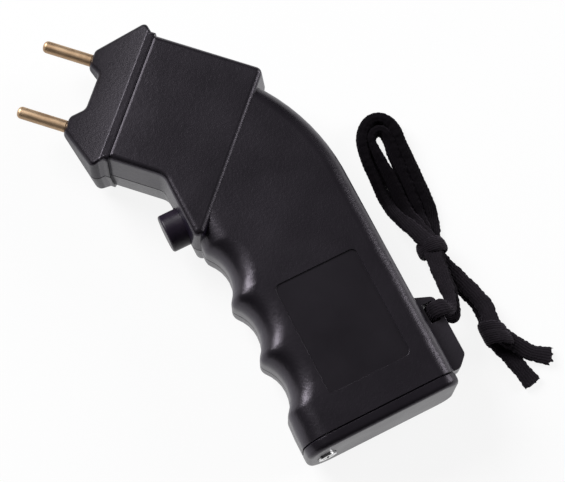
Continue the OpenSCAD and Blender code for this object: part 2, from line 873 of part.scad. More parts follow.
module switch_plunger() {
    color([0.75, 0.15, 0.12]) placed()
        on_button(stem_end + clear)
            cylinder(r = plunger_r, h = plunger_out + wall * 0.7);
}

// Battery and its snap connector
module battery_stud(s, play) {
    translate([battery_a - stud_h, s * stud_at, mid])
        rotate([0, 90, 0])
            cylinder(r = stud_h * (s > 0 ? 1.3 : 1.6) + play, h = stud_h + cut);
}
module battery() {
    color([0.25, 0.25, 0.3]) placed()
        rotate([0, 0, -bend]) {
            translate([0, 0, mid])
                battery_box(battery_a, battery_end);
            battery_stud(1, 0);
            battery_stud(-1, 0);
        }
}
module battery_snap() {
    color([0.1, 0.1, 0.1]) placed()
        rotate([0, 0, -bend])
            difference() {
                translate([snap_a, -battery_w * 0.47, mid - battery_t * 0.36])
                    cube([battery_a - snap_a, battery_w * 0.94, battery_t * 0.72]);
                battery_stud(1, nut_play);
                battery_stud(-1, nut_play);
            }
}

// End cap with its plug, and the screw that holds it
cap_a = grip_l + clear;
sink_d = wall * 0.6;
cap_head_r = wall * 1.3;
cap_head_t = wall * 0.9;
function cap_section(e) =
    let (s = grip_half_section(grip_l, e), n = len(s))
    concat(s, [for (i = [n - 1:-1:0]) [s[i].x, -s[i].y]]);
module end_cap() {
    rings = concat(
        [[seam, 0], [0, seam]],
        [for (i = [0:steps]) let (t = 90 * i / steps)
            [cap_edge * (1 - cos(t)), cap_t - cap_edge * (1 - sin(t))]]
    );
    plug_front = space_front - block_w / 2 - wall;
    plug_back = space_back - back_round + wall - clear;
    color([0.16, 0.155, 0.175]) placed()
        difference() {
            rotate([0, 0, -bend]) {
                translate([cap_a, 0, mid])
                    stack([for (r = rings) [for (p = cap_section(r[0])) [r[1], p.x, p.y]]]);
                translate([cap_a - plug_l, -plug_front, wall + grip_drop + clear])
                    cube([plug_l + seam, plug_front + plug_back, 2 * (space_h - clear)]);
            }
            on_cap_screw(-cut - clear)
                cylinder(r = cap_screw_r + clear, h = cap_t + 2 * cut);
            on_cap_screw(cap_t - sink_d)
                cylinder(r = cap_head_r + clear, h = sink_d + cut);
        }
}
module on_cap_screw(a) {
    rotate([0, 0, -bend])
        translate([cap_a + a, cap_screw_d, mid])
            rotate([0, 90, 0])
                children();
}
module cap_screw() {
    long = cap_t - sink_d + clear + grip_l - nut_a + wall * 0.6;
    color([0.72, 0.72, 0.74]) placed()
        on_cap_screw(cap_t - sink_d)
            difference() {
                union() {
                    translate([0, 0, -long])
                        cylinder(r = cap_screw_r, h = long);
                    cylinder(r = cap_head_r, h = cap_head_t);
                }
                for (t = [0, 90])
                    rotate([0, 0, t])
                        translate([-cap_head_r * 0.6, -cap_head_r * 0.12, cap_head_t * 0.5])
                            cube([cap_head_r * 1.2, cap_head_r * 0.24, cap_head_t]);
            }
}
module cap_nut() {
    color([0.7, 0.7, 0.72]) placed()
        rotate([0, 0, -bend])
            difference() {
                translate([nut_a, cap_screw_d - nut_w / 2, mid - nut_w / 2])
                    cube([nut_t, nut_w, nut_w]);
                translate([nut_a - cut, cap_screw_d, mid])
                    rotate([0, 90, 0])
                        cylinder(r = cap_screw_r + nut_play, h = nut_t + 2 * cut);
            }
}

// Wrist cord: from one tail through both knots, a loop, the lug and a second loop to the other tail
slot_at = g(slot_a, slot_d);
lug_over = lug_t / 2 + cord_t / 2 + clear;
lug_beyond = lug_d - slot_d + cord_t / 2 + clear;
wrap_high = [
    g3(slot_a, slot_d, mid + lug_t * 0.25),
    g3(slot_a, slot_d + cord_t * 0.3, mid + lug_over),
    g3(slot_a + clear, slot_d + lug_beyond * 0.8, mid + lug_over + clear),
    g3(slot_a + cord_t * 0.6, slot_d + lug_beyond + cord_t * 0.8, mid + lug_t * 0.25)
];
wrap_low = [
    g3(slot_a, slot_d, mid - lug_t * 0.25),
    g3(slot_a, slot_d + cord_t * 0.3, mid - lug_over),
    g3(slot_a + clear, slot_d + lug_beyond * 0.9, mid - lug_over - clear),
    g3(slot_a + cord_t * 1.5, slot_d + lug_beyond + cord_t * 1.2, mid - lug_t * 0.5)
];
// Free route of the strand over the lug, from the slot: east, north, height, lean
route_high = [
    [4.6, 7.4, 14, 0], [1.4, 12.2, 12.4, -15], [-1.6, 16.4, 11, -10], [-4.4, 20.4, 10, 0],
    [-7, 24.4, 9.5, 0], [-10.6, 26.2, 9.4, -6], [-14.6, 28.2, 9.1, -16], [-19.9, 30.9, 7.4, -36],
    [-24.2, 34.5, 4.3, -50], [-27.6, 38.4, 2.6, -50], [-31.4, 43, 2.5, -55], [-35, 47, 2.7, -65],
    [-38.2, 51.4, 3, -80], [-40, 55, 3, -90], [-40.4, 59, 3, -90], [-39.2, 62.2, 3, -90],
    [-36.8, 63.8, 3, -90], [-33.4, 63.6, 3, -95], [-30.4, 61.8, 3, -100], [-27.2, 58, 2.8, -110],
    [-23.8, 54.2, 2.6, -120], [-19.8, 49.6, 2.5, -125], [-16.4, 45.6, 2.4, -130], [-13.2, 41.8, 2.4, -132],
    [-10.6, 38.2, 2.2, -138], [-8.6, 34, 1.8, -155], [-7.2, 29.8, 1.4, -175], [-6, 24.4, 1.3, -180],
    [-1.4, 21, 1.3, -180], [5.6, 17, 1.3, -180], [12.4, 13.4, 1.3, -180], [16, 10.6, 1.4, -180],
    [20.8, 4, 2, -180], [25, 0.6, 1.6, -180], [29.4, -1.8, 1.3, -180], [34, -4.8, 1.3, -180],
    [39, -8.2, 1.3, -180]
];
// Free route of the strand under the lug
route_low = [
    [6.6, 6.6, 10.2, 0], [3.2, 11.6, 9.2, -10], [-0.4, 16.2, 8.2, -8], [-3.4, 20.8, 7.2, 0],
    [-5.8, 24.8, 6.8, 0], [-8.8, 27.2, 6.6, -4], [-12.2, 29.6, 6.3, -15], [-16.2, 32.6, 5, -38],
    [-19.5, 36, 3.4, -48], [-22.7, 39.8, 2.6, -50], [-26.6, 44.4, 2.5, -55], [-30.6, 48.2, 2.7, -65],
    [-34.6, 52.2, 3, -80], [-36.9, 55, 3, -90], [-37.2, 57.6, 3, -90], [-35.8, 59.6, 3, -90],
    [-33.8, 59.6, 3, -95], [-31.4, 57.6, 2.9, -105], [-28.8, 54.2, 2.7, -115], [-25.2, 49.8, 2.6, -120],
    [-21.8, 45.6, 2.5, -125], [-18.2, 40.8, 2.6, -130], [-15.2, 36.7, 3, -132], [-12.8, 33, 3.6, -148],
    [-9.8, 29.2, 4, -168], [-6.4, 25, 4.1, -180], [-1.6, 21.6, 4, -180], [5.6, 17.8, 4, -180],
    [12.6, 14, 4, -180], [16.6, 11.2, 4.4, -180], [21.6, 4.8, 5.2, -180], [26, 3, 4.8, -180],
    [30, 2.2, 3.9, -180], [35, 1.5, 2, -180], [42, 2.4, 1.4, -180]
];
function from_slot(p) = [slot_at.x + p.x, slot_at.y + p.y, p.z, p[3]];
high_side = concat(wrap_high, [for (p = route_high) from_slot(p)]);
low_side = concat(wrap_low, [for (p = route_low) from_slot(p)]);
cord_route = concat([for (i = [len(high_side) - 1:-1:0]) high_side[i]], low_side);
cord_rings = tube_rings(cord_route, cord_w, cord_t, 8);
next_rings = 4;
cord_gap = min([for (i = [0:len(cord_rings) - 1 - next_rings]) for (j = [i + next_rings:len(cord_rings) - 1])
    if (norm(plain(cord_route[i]) - plain(cord_route[j])) < 2 * cord_w)
        min([for (p = cord_rings[i]) min([for (q = cord_rings[j]) norm(p - q)])])]);
echo(cord_gap = cord_gap);
module wrist_cord() {
    color([0.09, 0.085, 0.09]) placed()
        stack(cord_rings);
}

// Knots, as barrels that the strands run into
gather_at = [-6.2, 24.6];
gather_turn = -48;
gather_r = 5.8;
gather_l = 8;
tail_at = [21.2, 4.6];
tail_turn = -48;
tail_r = 4.4;
tail_l = 12;
waist_share = 0.25;
module barrel(at, turn, r, l) {
    color([0.09, 0.085, 0.09]) placed()
        translate([slot_at.x + at.x, slot_at.y + at.y, r])
            rotate([0, 0, turn])
                rotate([0, 90, 0])
                    rotate_extrude()
                        polygon(concat(
                            [for (i = [-steps:steps]) let (t = i / steps)
                                [r * (1 - waist_share * t * t), l * t / 2]],
                            [[0, l / 2], [0, -l / 2]]
                        ));
}
module gather_knot() {
    barrel(gather_at, gather_turn, gather_r, gather_l);
}
module tail_knot() {
    barrel(tail_at, tail_turn, tail_r, tail_l);
}

shell_near();
shell_far();
shell_screws();
electrode_upper();
electrode_lower();
electrode_nuts();
electrode_tags();
circuit_board();
transformer_core();
transformer_winding();
hv_module();
storage_capacitor();
driver_transistor();
electrode_leads();
trigger_button();
button_spring();
switch_body();
switch_plunger();
switch_leads();
battery();
battery_snap();
battery_leads();
end_cap();
cap_screw();
cap_nut();
wrist_cord();
gather_knot();
tail_knot();
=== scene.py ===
import json
import math

import bpy
from mathutils import Matrix, Vector


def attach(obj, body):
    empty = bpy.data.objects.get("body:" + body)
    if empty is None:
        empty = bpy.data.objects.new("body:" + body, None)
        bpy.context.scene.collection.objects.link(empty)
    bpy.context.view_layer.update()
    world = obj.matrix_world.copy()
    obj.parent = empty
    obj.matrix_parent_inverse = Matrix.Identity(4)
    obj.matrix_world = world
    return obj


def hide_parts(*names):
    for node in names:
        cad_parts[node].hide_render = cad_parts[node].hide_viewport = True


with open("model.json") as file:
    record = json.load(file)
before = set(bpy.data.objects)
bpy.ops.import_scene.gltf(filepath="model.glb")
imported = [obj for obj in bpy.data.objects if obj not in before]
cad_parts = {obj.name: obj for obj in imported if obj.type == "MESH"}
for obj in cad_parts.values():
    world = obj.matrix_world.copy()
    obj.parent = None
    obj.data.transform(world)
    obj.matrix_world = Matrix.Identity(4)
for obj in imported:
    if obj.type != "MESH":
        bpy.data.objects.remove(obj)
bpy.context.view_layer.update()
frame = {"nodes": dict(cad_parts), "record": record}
nodes = frame["nodes"]

# Lengths on the part are in millimetres; those of the camera, floor and lamps are in metres
MM = 0.001
DIAGONAL = math.sqrt(0.5)
GRIP_SHIFT = 20.0
GRIP_ANGLE = math.radians(45.0)
MID = 15.0


def grip(along, across, z):
    """Millimetres along and across the grip to the part's frame."""
    return Vector(((along + across) * DIAGONAL + GRIP_SHIFT, (across - along) * DIAGONAL, z))


# Camera at the photograph's viewing angle
AZIMUTH = math.radians(18.2)
ELEVATION = math.radians(74.0)
TARGET = Vector((43.94, -27.75, 14.91)) * MM
DISTANCE = 0.561
SENSOR_WIDTH = 36.0
FOCAL_PIXELS = 1700.0
PICTURE_PIXELS = 565.0
NEAR_CLIP = 0.01
right = Vector((math.cos(AZIMUTH), math.sin(AZIMUTH), 0.0))
plan_up = Vector((-math.sin(AZIMUTH), math.cos(AZIMUTH), 0.0))
ahead = plan_up * math.cos(ELEVATION) - Vector((0.0, 0.0, math.sin(ELEVATION)))
up = right.cross(ahead)
camera_data = bpy.data.cameras.new("camera")
camera_data.sensor_width = SENSOR_WIDTH
camera_data.sensor_fit = "HORIZONTAL"
camera_data.lens = SENSOR_WIDTH * FOCAL_PIXELS / PICTURE_PIXELS
camera_data.clip_start = NEAR_CLIP
camera = bpy.data.objects.new("camera", camera_data)
turn = Matrix((right, up, -ahead)).transposed().to_4x4()
camera.matrix_world = Matrix.Translation(TARGET - ahead * DISTANCE) @ turn
bpy.context.scene.collection.objects.link(camera)
bpy.context.scene.camera = camera
bpy.context.scene.view_settings.view_transform = "Standard"

# The middle range that a noise pattern mostly keeps to
NOISE_LOW = 0.3
NOISE_HIGH = 0.7


# Node helpers
def add(tree, kind, **settings):
    n = tree.nodes.new(kind)
    for key, value in settings.items():
        setattr(n, key, value)
    return n


def put(tree, value, socket):
    """Link a socket's value, or set a plain one."""
    if isinstance(value, bpy.types.NodeSocket):
        tree.links.new(value, socket)
    else:
        socket.default_value = value


def math_node(tree, operation, a, b=0.0):
    n = add(tree, "ShaderNodeMath", operation=operation)
    put(tree, a, n.inputs[0])
    put(tree, b, n.inputs[1])
    return n.outputs[0]


def plus(tree, a, b):
    return math_node(tree, "ADD", a, b)


def times(tree, a, b):
    return math_node(tree, "MULTIPLY", a, b)


def axes(tree, vector):
    """The X, Y and Z of a vector."""
    n = add(tree, "ShaderNodeSeparateXYZ")
    put(tree, vector, n.inputs[0])
    return n.outputs["X"], n.outputs["Y"], n.outputs["Z"]


def noise(tree, place, scale, detail, rough):
    n = add(tree, "ShaderNodeTexNoise")
    put(tree, place, n.inputs["Vector"])
    n.inputs["Scale"].default_value = scale
    n.inputs["Detail"].default_value = detail
    n.inputs["Roughness"].default_value = rough
    return n.outputs["Fac"]


def spread(tree, value, low, high, to_low=0.0, to_high=1.0):
    """Bring one range of a value to another, and no further."""
    n = add(tree, "ShaderNodeMapRange", clamp=True)
    put(tree, value, n.inputs["Value"])
    n.inputs["From Min"].default_value = low
    n.inputs["From Max"].default_value = high
    n.inputs["To Min"].default_value = to_low
    n.inputs["To Max"].default_value = to_high
    return n.outputs["Result"]


def vary(tree, pattern, low=0.0, high=1.0):
    """Let a noise pattern go between two values."""
    return spread(tree, pattern, NOISE_LOW, NOISE_HIGH, low, high)


def ramp(tree, value, start, end, low=0.0, high=1.0):
    """Go between two values from one place to another, in millimetres."""
    return spread(tree, value, start * MM, end * MM, low, high)


def near(tree, value, centre, half, soft, inside=1.0, outside=0.0):
    """One value close to a place and another away from it, in millimetres, with a soft edge."""
    gap = math_node(tree, "ABSOLUTE", math_node(tree, "SUBTRACT", value, centre * MM))
    return ramp(tree, gap, half - soft, half + soft, inside, outside)


def fade(tree, mask, least, most=1.0):
    """Go down from the most to the least where a mask is on."""
    return spread(tree, mask, 0.0, 1.0, most, least)


def with_alpha(colour):
    return (*colour, 1.0) if isinstance(colour, tuple) else colour


def blend(tree, share, first, second):
    n = add(tree, "ShaderNodeMix", data_type="RGBA")
    put(tree, share, n.inputs["Factor"])
    put(tree, with_alpha(first), n.inputs["A"])
    put(tree, with_alpha(second), n.inputs["B"])
    return n.outputs["Result"]


def bump(tree, height, strength, depth, base=None):
    """A bumped normal, its depth in millimetres."""
    n = add(tree, "ShaderNodeBump")
    put(tree, height, n.inputs["Height"])
    put(tree, strength, n.inputs["Strength"])
    n.inputs["Distance"].default_value = depth * MM
    if base is not None:
        put(tree, base, n.inputs["Normal"])
    return n.outputs["Normal"]


def material(name):
    m = bpy.data.materials.new(name)
    m.use_nodes = True
    tree = m.node_tree
    shader = tree.nodes["Principled BSDF"]
    place = add(tree, "ShaderNodeTexCoord").outputs["Object"]
    return m, tree, shader, place


# Places on the shells: the label field along and across the grip, the seam, nose, collar and lug
LABEL_ALONG = 72.0
LABEL_ACROSS = 0.58
LABEL_HALF_LENGTH = 19.5
LABEL_HALF_WIDTH = 14.5
LABEL_SOFT = 0.1
NEAR_SIDE_LOW = 27.0
NEAR_SIDE_HIGH = 28.0
SEAM_HALF = 0.335
SEAM_SOFT = 0.085
NOSE_TIP = -40.0
NOSE_REAR = -20.5
HEAD_START = -20.6
HEAD_FULL = -20.2
COLLAR_FRONT = -20.15
COLLAR_FRONT_HALF = 0.16
COLLAR_FRONT_SOFT = 0.06
COLLAR_REAR = -17.4
COLLAR_REAR_HALF = 0.65
COLLAR_REAR_SOFT = 0.15
COLLAR_STEP = -17.5
COLLAR_STEP_SOFT = 0.12
LUG_ACROSS_START = 23.0
LUG_ACROSS_FULL = 24.5
LUG_ALONG_START = 55.0
LUG_ALONG_FULL = 65.0

# Grain, shine and tones of the moulded plastic, and the painted reflection tint of its steep walls
FINE_GRAIN = 2300.0
COARSE_GRAIN = 850.0
CLOUDS = 45.0
GRAIN_DEPTH = 0.16
EDGE_RADIUS = 0.25
EDGE_SAMPLES = 4
SMOOTHEST = 0.31
ROUGHEST = 0.37
WALL_FLAT = 0.7
WALL_STEEP = 0.2
WALL_REFLECTION_TINT = (0.0105, 0.0072, 0.018)
WALL_SHINE = 0.78
CAP_SHINE = 0.4
NOSE_TIP_SHINE = 0.058
NOSE_REAR_SHINE = 0.19
HEAD_SHINE = 0.385
LUG_SHINE = 0.45
SEAM_SHINE = 0.25
SEAM_PAINTED_SHADE = 0.3
COLLAR_REAR_SHINE = 0.5
COLLAR_STRENGTH = 0.16
COLLAR_DEPTH = 0.2
EDGE_HIGHLIGHT_TONE = (0.06, 0.056, 0.066)
EDGE_HIGHLIGHT_SHARE = 0.7
EDGE_HIGHLIGHT_LOW = 0.4
EDGE_HIGHLIGHT_HIGH = 0.6
LABEL_GRAIN = 0.25
LABEL_SHADE_SHARE = 0.5
LABEL_PAINTED_SHADE = 0.6
PLASTIC_TINT = (0.94, 0.86, 1.0)


def shade(colour, share):
    return tuple(c * share for c in colour)


def steep_mask(tree):
    """On for walls that stand up, off for faces that lie flat."""
    normal = add(tree, "ShaderNodeNewGeometry").outputs["Normal"]
    level = math_node(tree, "ABSOLUTE", axes(tree, normal)[2])
    return spread(tree, level, WALL_STEEP, WALL_FLAT, 1.0, 0.0)


def grip_axes(tree, place):
    """Places along the grip, with its shift added, across it and up."""
    turned = add(tree, "ShaderNodeVectorRotate", rotation_type="Z_AXIS")
    put(tree, place, turned.inputs["Vector"])
    turned.inputs["Center"].default_value = (GRIP_SHIFT * MM, 0.0, 0.0)
    turned.inputs["Angle"].default_value = GRIP_ANGLE
    return axes(tree, turned.outputs[0])


def label_mask(tree, along, across, z):
    """The recessed field on the near side of the grip."""
    inside = times(
        tree,
        near(tree, along, GRIP_SHIFT + LABEL_ALONG, LABEL_HALF_LENGTH, LABEL_SOFT),
        near(tree, across, LABEL_ACROSS, LABEL_HALF_WIDTH, LABEL_SOFT),
    )
    return times(tree, inside, ramp(tree, z, NEAR_SIDE_LOW, NEAR_SIDE_HIGH))


def collar_edge_highlight(tree, x, grain):
    """Painted highlight: pale patches along the front edge of the collar, where its rounding catches the
    light.
    """
    edge = near(tree, x, COLLAR_FRONT, COLLAR_FRONT_HALF, COLLAR_FRONT_SOFT, EDGE_HIGHLIGHT_SHARE)
    return times(tree, edge, spread(tree, grain, EDGE_HIGHLIGHT_LOW, EDGE_HIGHLIGHT_HIGH))


def shell_shine(tree, x, along, across, seam, steep):
    """Dull on the nose, full on the head and grip, more on the lug, less at seam, walls and collar."""
    nose = ramp(tree, x, NOSE_TIP, NOSE_REAR, NOSE_TIP_SHINE, NOSE_REAR_SHINE)
    head = ramp(tree, x, HEAD_START, HEAD_FULL, 0.0, HEAD_SHINE)
    lug = times(
        tree,
        ramp(tree, across, LUG_ACROSS_START, LUG_ACROSS_FULL, 0.0, LUG_SHINE),
        ramp(tree, along, GRIP_SHIFT + LUG_ALONG_START, GRIP_SHIFT + LUG_ALONG_FULL),
    )
    shine = plus(tree, plus(tree, nose, head), lug)
    shine = times(tree, shine, fade(tree, seam, SEAM_SHINE))
    shine = times(tree, shine, fade(tree, steep, WALL_SHINE))
    rear = near(tree, x, COLLAR_REAR, COLLAR_REAR_HALF, COLLAR_REAR_SOFT, COLLAR_REAR_SHINE, 1.0)
    return times(tree, shine, rear)


# Moulded black plastic with a spark-eroded grain; only shells have label, seam, nose, collar and lug
def moulded_plastic(name, dark, light, grain, is_shell):
    m, tree, shader, place = material(name)
    fine = noise(tree, place, FINE_GRAIN, detail=2.0, rough=0.6)
    coarse = noise(tree, place, COARSE_GRAIN, detail=1.0, rough=0.5)
    cloud = noise(tree, place, CLOUDS, detail=3.0, rough=0.6)
    height = plus(tree, times(tree, fine, 0.5), times(tree, coarse, 0.5))
    steep = steep_mask(tree)
    colour = blend(tree, vary(tree, cloud), dark, light)
    # Painted reflection: steep walls are tinted lavender in their colour, standing in for the pale
    # reflection they catch
    colour = blend(tree, steep, colour, WALL_REFLECTION_TINT)
    soft_edge = add(tree, "ShaderNodeBevel", samples=EDGE_SAMPLES)
    soft_edge.inputs["Radius"].default_value = EDGE_RADIUS * MM
    normal = soft_edge.outputs[0]
    strength = grain
    shine = CAP_SHINE
    if is_shell:
        x = axes(tree, place)[0]
        along, across, z = grip_axes(tree, place)
        label = label_mask(tree, along, across, z)
        seam = near(tree, z, MID, SEAM_HALF, SEAM_SOFT)
        strength = fade(tree, label, grain * LABEL_GRAIN, grain)
        shine = shell_shine(tree, x, along, across, seam, steep)
        # Painted shade: the smooth label field is darkened in colour, standing in for the weaker
        # reflection it gives
        colour = blend(tree, times(tree, label, LABEL_SHADE_SHARE), colour, shade(dark, LABEL_PAINTED_SHADE))
        # Painted shade: a dark line along the parting seam, where the groove between the shells lies in
        # shade
        colour = blend(tree, seam, colour, shade(dark, SEAM_PAINTED_SHADE))
        # Painted highlight: a pale broken line on the collar's front edge
        colour = blend(tree, collar_edge_highlight(tree, x, coarse), colour, EDGE_HIGHLIGHT_TONE)
        step = ramp(tree, x, COLLAR_STEP - COLLAR_STEP_SOFT, COLLAR_STEP + COLLAR_STEP_SOFT)
        normal = bump(tree, step, COLLAR_STRENGTH, COLLAR_DEPTH, normal)
    put(tree, colour, shader.inputs["Base Color"])
    put(tree, vary(tree, cloud, SMOOTHEST, ROUGHEST), shader.inputs["Roughness"])
    put(tree, shine, shader.inputs["Specular IOR Level"])
    shader.inputs["Specular Tint"].default_value = with_alpha(PLASTIC_TINT)
    put(tree, bump(tree, height, strength, GRAIN_DEPTH, normal), shader.inputs["Normal"])
    return m


# Turned electrode, with fine streaks of the tool and worn patches
ELECTRODE_STRETCH = (0.15, 1.0, 1.0)
ELECTRODE_DARK = (0.43, 0.29, 0.18)
ELECTRODE_LIGHT = (0.56, 0.40, 0.26)
ELECTRODE_WORN_LOW = 0.35
ELECTRODE_WORN_HIGH = 0.65


def electrode_metal():
    m, tree, shader, place = material("electrode_metal")
    stretched = add(tree, "ShaderNodeMapping")
    put(tree, place, stretched.inputs["Vector"])
    stretched.inputs["Scale"].default_value = ELECTRODE_STRETCH
    streaks = noise(tree, stretched.outputs[0], scale=1500.0, detail=3.0, rough=0.6)
    worn = noise(tree, place, scale=220.0, detail=4.0, rough=0.6)
    worn = spread(tree, worn, ELECTRODE_WORN_LOW, ELECTRODE_WORN_HIGH)
    put(tree, blend(tree, worn, ELECTRODE_DARK, ELECTRODE_LIGHT), shader.inputs["Base Color"])
    shader.inputs["Metallic"].default_value = 1.0
    put(tree, vary(tree, streaks, low=0.42, high=0.58), shader.inputs["Roughness"])
    put(tree, bump(tree, streaks, strength=0.25, depth=0.03), shader.inputs["Normal"])
    return m


# Plain materials, each with a little variation of tone, roughness and height
ROUGH_SWING = 0.2


def varied(name, dark, light, rough, metal=0.0, scale=400.0, lumps=0.2, deep=0.05, shine=0.5):
    m, tree, shader, place = material(name)
    pattern = noise(tree, place, scale, detail=3.0, rough=0.6)
    put(tree, blend(tree, vary(tree, pattern), dark, light), shader.inputs["Base Color"])
    roughness = vary(tree, pattern, rough * (1.0 - ROUGH_SWING), rough * (1.0 + ROUGH_SWING))
    put(tree, roughness, shader.inputs["Roughness"])
    shader.inputs["Metallic"].default_value = metal
    shader.inputs["Specular IOR Level"].default_value = shine
    put(tree, bump(tree, pattern, lumps, deep), shader.inputs["Normal"])
    return m


# The look of each material slot in the record
looks = {
    "housing": moulded_plastic(
        "shell_black", (0.0054, 0.0044, 0.0063), (0.0074, 0.006, 0.0086), grain=0.46, is_shell=True,
    ),
    "cap": moulded_plastic(
        "cap_black", (0.0058, 0.0047, 0.0067), (0.0077, 0.0064, 0.009), grain=0.35, is_shell=False,
    ),
    "electrode": electrode_metal(),
    "button": varied(
        "button_black", (0.014, 0.0096, 0.0186), (0.018, 0.0125, 0.023),
        rough=0.4, scale=300.0, lumps=0.05, deep=0.02, shine=0.26,
    ),
    "brass_nut": varied("nut_brass", (0.5, 0.32, 0.13), (0.65, 0.44, 0.2), rough=0.3, metal=1.0),
    "steel": varied(
        "plated_steel", (0.5, 0.5, 0.52), (0.62, 0.62, 0.63), rough=0.32, metal=1.0, scale=600.0,
    ),
    "cap_screw": varied(
        "bright_screw", (0.66, 0.66, 0.67), (0.78, 0.78, 0.78), rough=0.2, metal=1.0, scale=800.0,
    ),
    "board": varied("board_green", (0.02, 0.11, 0.045), (0.03, 0.16, 0.07), rough=0.35, scale=300.0),
    "core": varied(
        "core_ferrite", (0.035, 0.035, 0.037), (0.06, 0.06, 0.06), rough=0.7, scale=900.0, lumps=0.4,
    ),
    "winding": varied(
        "winding_copper", (0.4, 0.14, 0.04), (0.55, 0.22, 0.07),
        rough=0.35, metal=0.8, scale=1200.0, lumps=0.5, deep=0.1,
    ),
    "potting": varied("resin_block", (0.015, 0.015, 0.05), (0.025, 0.025, 0.07), rough=0.25, scale=200.0),
    "capacitor": varied("capacitor_red", (0.3, 0.02, 0.015), (0.4, 0.035, 0.025), rough=0.3, scale=250.0),
    "transistor": varied(
        "transistor_black", (0.02, 0.02, 0.02), (0.035, 0.035, 0.035), rough=0.6, scale=900.0,
    ),
    "lead_red": varied("lead_red", (0.35, 0.015, 0.015), (0.45, 0.03, 0.03), rough=0.45, scale=300.0),
    "lead_yellow": varied("lead_yellow", (0.5, 0.4, 0.03), (0.62, 0.5, 0.06), rough=0.45, scale=300.0),
    "lead_black": varied("lead_dark", (0.03, 0.012, 0.012), (0.06, 0.02, 0.02), rough=0.45, scale=300.0),
    "switch": varied("switch_grey", (0.04, 0.04, 0.045), (0.06, 0.06, 0.065), rough=0.5, scale=900.0),
    "plunger": varied("plunger_red", (0.4, 0.03, 0.02), (0.52, 0.05, 0.04), rough=0.4, scale=500.0),
    "battery": varied(
        "battery_jacket", (0.05, 0.05, 0.07), (0.075, 0.075, 0.1), rough=0.35, metal=0.4, scale=120.0,
    ),
    "snap": varied("snap_black", (0.015, 0.015, 0.015), (0.025, 0.025, 0.025), rough=0.55, scale=900.0),
}

# CAD nodes keep their shapes; a modifier joins their faces so that curved ones shade smoothly
WELD_GAP = 0.01
SHARP_ANGLE = math.radians(32.0)


def smooth_faces():
    group = bpy.data.node_groups.new("smooth_faces", "GeometryNodeTree")
    for direction in ("INPUT", "OUTPUT"):
        group.interface.new_socket("Geometry", in_out=direction, socket_type="NodeSocketGeometry")
    mesh_in = add(group, "NodeGroupInput")
    mesh_out = add(group, "NodeGroupOutput")
    drop = add(group, "GeometryNodeRemoveAttribute")
    drop.inputs["Name"].default_value = "custom_normal"
    weld = add(group, "GeometryNodeMergeByDistance")
    weld.inputs["Distance"].default_value = WELD_GAP * MM
    angle = add(group, "GeometryNodeInputMeshEdgeAngle")
    below = add(group, "FunctionNodeCompare", data_type="FLOAT", operation="LESS_THAN")
    below.inputs[1].default_value = SHARP_ANGLE
    faces = add(group, "GeometryNodeSetShadeSmooth", domain="FACE")
    edges = add(group, "GeometryNodeSetShadeSmooth", domain="EDGE")
    put(group, mesh_in.outputs[0], drop.inputs["Geometry"])
    put(group, drop.outputs[0], weld.inputs["Geometry"])
    put(group, weld.outputs[0], faces.inputs["Geometry"])
    put(group, faces.outputs[0], edges.inputs["Geometry"])
    put(group, angle.outputs["Unsigned Angle"], below.inputs[0])
    put(group, below.outputs[0], edges.inputs["Shade Smooth"])
    put(group, edges.outputs[0], mesh_out.inputs[0])
    return group


smooth_group = smooth_faces()
slot_of = {s["node"]: s["material_slot"] for s in frame["record"]["subparts"]}
for name, obj in nodes.items():
    look = looks.get(slot_of[name])
    if look is None:
        continue
    obj.data.materials.clear()
    obj.data.materials.append(look)
    smooth = obj.modifiers.new("smooth_faces", "NODES")
    smooth.node_group = smooth_group
    even = obj.modifiers.new("even_normals", "WEIGHTED_NORMAL")
    even.keep_sharp = True

# Wrist cord: the same points as the source's route, in millimetres from the slot; a route's also lean
SLOT_ALONG = 80.71
SLOT_ACROSS = 29.0
CORD_W = 5.6
CORD_T = 2.2
wrap_high = [(0.0, 0.0, 2.0), (0.0, 0.66, 5.4), (0.3, 3.68, 5.7), (1.32, 6.36, 2.0)]
wrap_low = [(0.0, 0.0, -2.0), (0.0, 0.66, -5.4), (0.3, 4.14, -5.7), (3.3, 7.24, -4.0)]
route_high = [
    (4.6, 7.4, 14, 0), (1.4, 12.2, 12.4, -15), (-1.6, 16.4, 11, -10), (-4.4, 20.4, 10, 0),
    (-7, 24.4, 9.5, 0), (-10.6, 26.2, 9.4, -6), (-14.6, 28.2, 9.1, -16), (-19.9, 30.9, 7.4, -36),
    (-24.2, 34.5, 4.3, -50), (-27.6, 38.4, 2.6, -50), (-31.4, 43, 2.5, -55), (-35, 47, 2.7, -65),
    (-38.2, 51.4, 3, -80), (-40, 55, 3, -90), (-40.4, 59, 3, -90), (-39.2, 62.2, 3, -90),
    (-36.8, 63.8, 3, -90), (-33.4, 63.6, 3, -95), (-30.4, 61.8, 3, -100), (-27.2, 58, 2.8, -110),
    (-23.8, 54.2, 2.6, -120), (-19.8, 49.6, 2.5, -125), (-16.4, 45.6, 2.4, -130),
    (-13.2, 41.8, 2.4, -132), (-10.6, 38.2, 2.2, -138), (-8.6, 34, 1.8, -155), (-7.2, 29.8, 1.4, -175),
    (-6, 24.4, 1.3, -180), (-1.4, 21, 1.3, -180), (5.6, 17, 1.3, -180), (12.4, 13.4, 1.3, -180),
    (16, 10.6, 1.4, -180), (20.8, 4, 2, -180), (25, 0.6, 1.6, -180), (29.4, -1.8, 1.3, -180),
    (34, -4.8, 1.3, -180), (39, -8.2, 1.3, -180),
]
